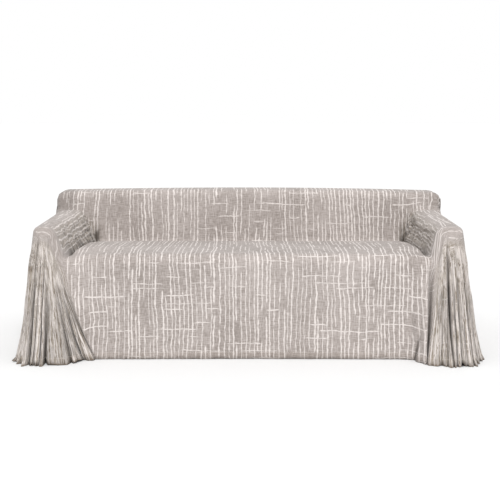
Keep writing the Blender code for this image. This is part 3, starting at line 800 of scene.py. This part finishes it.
    height = addNode(tree, "ShaderNodeMath", weave, jacquard["weaveHeight"], operation="MULTIPLY")
    height = addNode(tree, "ShaderNodeMath", floats, jacquard["floatHeight"], height,
                     operation="MULTIPLY_ADD")
    strength = addNode(tree, "ShaderNodeMapRange", creased, 0.0, 1.0, *jacquard["creaseHeight"])
    height = addNode(tree, "ShaderNodeMath", ridges, strength, height, operation="MULTIPLY_ADD")
    bump = addNode(tree, "ShaderNodeBump", named={"Strength": 0.9, "Distance": 1.0, "Height": height})
    shader = addNode(tree, "ShaderNodeBsdfPrincipled", named={
        "Base Color": colour, "Roughness": jacquard["roughness"], "Normal": bump, "IOR": 1.45,
        "Specular IOR Level": 0.25, "Sheen Weight": jacquard["sheen"], "Sheen Roughness": 0.5})
    addNode(tree, "ShaderNodeOutputMaterial", shader).is_active_output = True
    return material


def makeCover():
    sheet, hemRow = coverSheet()
    points, shades = np.array(sheet.points), np.array(sheet.shades)
    low, high = points.min(axis=0), points.max(axis=0)
    place = (np.array(cadLow) + np.array(cadHigh)) / 2 - (low + high) / 2
    place[2] = -low[2] + cover["hemThickness"] / 2
    mesh = bpy.data.meshes.new("sofaCover")
    mesh.from_pydata((points + place).tolist(), [], sheet.faces)
    mesh.shade_smooth()
    layer = mesh.uv_layers.new(name="clothMetres")
    layer.uv.foreach_set("vector", np.array(sheet.faceUvs, np.float32).ravel())
    for k, name in enumerate(("creased", "hollow", "smooth", "aboveHem")):
        attribute = mesh.attributes.new(name, "FLOAT", "POINT")
        attribute.data.foreach_set("value", shades[:, k].astype(np.float32))
    piece = addObject("sofaCover", mesh)
    mesh.materials.append(jacquardMaterial())

    group = piece.vertex_groups.new(name="hem")
    inHem = shades[:, 3] < cover["hemWidth"]
    group.add(np.flatnonzero(inHem).tolist(), 1.0, "REPLACE")
    group.add(np.flatnonzero(~inHem).tolist(), cover["thickness"] / cover["hemThickness"], "REPLACE")
    solid = piece.modifiers.new("thickness", "SOLIDIFY")
    solid.thickness = cover["hemThickness"]
    solid.offset = 0.0
    solid.vertex_group = "hem"
    print("cover made:", len(points), "points,", len(sheet.faces), "faces")
    return piece, place, hemRow


hemStitches = dict(
    aboveHem=0.030,        # from the edge up to the row
    pitch=0.0085,          # the real stitches are 3 mm long, too fine to show, so they are drawn coarser
    length=0.0062,
    width=0.0011,
    uneven=(0.8, 1.15),    # the shortest and the longest stitch, against that length
    sunk=0.0002,
    seed=4,
    thread="#cdc5bd",
)


def hemGuide(hemRow, place):  # the line that the stitches follow, all round, on the cloth's outer face
    found = []
    for side in (1, -1):
        grid, falls, lengths = hemRow[side]
        facing = unit(np.cross(np.gradient(grid, axis=1), np.gradient(grid, axis=0)))
        both = np.concatenate([grid, facing], axis=-1)
        line = [between(1.0 - hemStitches["aboveHem"] / length, falls, column)
                for column, length in zip(both, lengths)]
        found += (np.array(line) * ((side, 1, 1) * 2))[::side].tolist()
    spots, normals = np.array(found)[:, :3], np.array(found)[:, 3:]
    return spots + normals * (cover["hemThickness"] / 2 - hemStitches["sunk"]) + place


def stitchTree(material):  # a closed line of edges in, a row of stitches out
    tree = bpy.data.node_groups.new("stitchRow", "GeometryNodeTree")
    for name, way, kind in (("Geometry", "INPUT", "Geometry"), ("Pitch", "INPUT", "Float"),
                            ("Length", "INPUT", "Float"), ("Width", "INPUT", "Float"),
                            ("Seed", "INPUT", "Int"), ("Geometry", "OUTPUT", "Geometry")):
        tree.interface.new_socket(name, in_out=way, socket_type="NodeSocket" + kind)
    given = tree.nodes.new("NodeGroupInput").outputs
    curve = addNode(tree, "GeometryNodeMeshToCurve", given["Geometry"])
    evenly = addNode(tree, "GeometryNodeResampleCurve", mode="LENGTH",
                     named={"Curve": curve, "Length": given["Pitch"]})
    heading = addNode(tree, "GeometryNodeInputTangent")
    turned = addNode(tree, "FunctionNodeAlignRotationToVector", axis="X", named={"Vector": heading})
    stitch = addNode(tree, "GeometryNodeMeshUVSphere", 6, 4, 0.5)
    uneven = addNode(tree, "FunctionNodeRandomValue", None, None, *hemStitches["uneven"], data_type="FLOAT",
                     output=1, named={"Seed": given["Seed"]})
    size = addNode(tree, "ShaderNodeMath", given["Length"], uneven, operation="MULTIPLY")
    size = addNode(tree, "ShaderNodeCombineXYZ", size, given["Width"], given["Width"])
    row = addNode(tree, "GeometryNodeInstanceOnPoints", named={
        "Points": evenly, "Instance": stitch, "Rotation": turned, "Scale": size})
    real = addNode(tree, "GeometryNodeRealizeInstances", row)
    done = addNode(tree, "GeometryNodeSetMaterial", real, None, material)
    tree.links.new(done, tree.nodes.new("NodeGroupOutput").inputs["Geometry"])
    return tree


def makeStitches(hemRow, place):
    tree = stitchTree(plainMaterial("stitchingThread", {  # matt cotton sewing thread
        "Base Color": linear(hemStitches["thread"]), "Roughness": 0.85}))
    spots = hemGuide(hemRow, place)
    mesh = bpy.data.meshes.new("stitchGuide")
    mesh.from_pydata(spots.tolist(), [(k, (k + 1) % len(spots)) for k in range(len(spots))], [])
    guide = addObject("stitchGuide", mesh)
    nodes = guide.modifiers.new("stitches", "NODES")
    nodes.node_group = tree
    for item in tree.interface.items_tree:
        if item.in_out == "INPUT" and item.name.lower() in hemStitches:
            nodes[item.identifier] = hemStitches[item.name.lower()]
    made = bpy.data.meshes.new_from_object(guide.evaluated_get(bpy.context.evaluated_depsgraph_get()))
    bpy.data.objects.remove(guide, do_unlink=True)
    made.name = "hemStitches"
    made.shade_smooth()
    print("stitches made:", len(made.polygons), "faces")
    return addObject("hemStitches", made)


camera = dict(
    away=5.07,             # from the front face
    aside=0.009,
    height=1.314,
    tilt=8.79,             # degrees down
    focal=1072.8,          # in pixels of the 500 pixel frame
    frameWidth=500.0,
    sensor=36.0,
)


def makeCamera(place):
    data = bpy.data.cameras.new("camera")
    data.sensor_width = camera["sensor"]
    data.lens = camera["focal"] / camera["frameWidth"] * camera["sensor"]
    data.clip_end = 80.0
    eye = addObject("camera", data)
    eye.location = (place[0] + camera["aside"], place[1] - camera["away"], camera["height"])
    eye.rotation_euler = (math.radians(90 - camera["tilt"]), 0.0, 0.0)
    bpy.context.scene.camera = eye


studio = dict(
    skyStrength=0.88,      # what the sky lights with
    backdrop=1.0,          # what the camera sees of it
    keyStrength=2.8,
    keySoftness=24.0,      # degrees
    keyHeight=46.0,        # degrees above the floor
    keyAside=7.0,          # degrees to the right
    floorHalf=30.0,
    floorColour="#d8d8d8",
)


def makeStudio():
    half = studio["floorHalf"]
    mesh = bpy.data.meshes.new("floor")
    mesh.from_pydata([(-half, -half, 0), (half, -half, 0), (half, half, 0), (-half, half, 0)], [],
                     [(0, 1, 2, 3)])
    mesh.materials.append(plainMaterial("paintedFloor", {  # matt white paint
        "Base Color": linear(studio["floorColour"]), "Roughness": 0.95, "Specular IOR Level": 0.0}))
    floor = addObject("floor", mesh)
    world = bpy.data.worlds.new("studioSky")
    world.use_nodes = True
    seen = addNode(world.node_tree, "ShaderNodeLightPath")
    strength = addNode(world.node_tree, "ShaderNodeMapRange", seen, 0.0, 1.0, studio["skyStrength"],
                       studio["backdrop"])
    sky = world.node_tree.nodes["Background"]
    sky.inputs["Color"].default_value = (1.0, 1.0, 1.0, 1.0)
    world.node_tree.links.new(strength, sky.inputs["Strength"])
    bpy.context.scene.world = world
    data = bpy.data.lights.new("keyLight", "SUN")
    data.energy = studio["keyStrength"]
    data.angle = math.radians(studio["keySoftness"])
    lamp = addObject("keyLight", data)
    lamp.rotation_euler = (math.radians(90 - studio["keyHeight"]), 0.0, math.radians(studio["keyAside"]))
    bpy.context.scene.view_settings.view_transform = "Standard"
    print("studio made")


piece, place, hemRow = makeCover()
stitches = makeStitches(hemRow, place)
makeCamera(place)
makeStudio()

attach(piece, "root")
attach(stitches, "root")
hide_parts("cover")
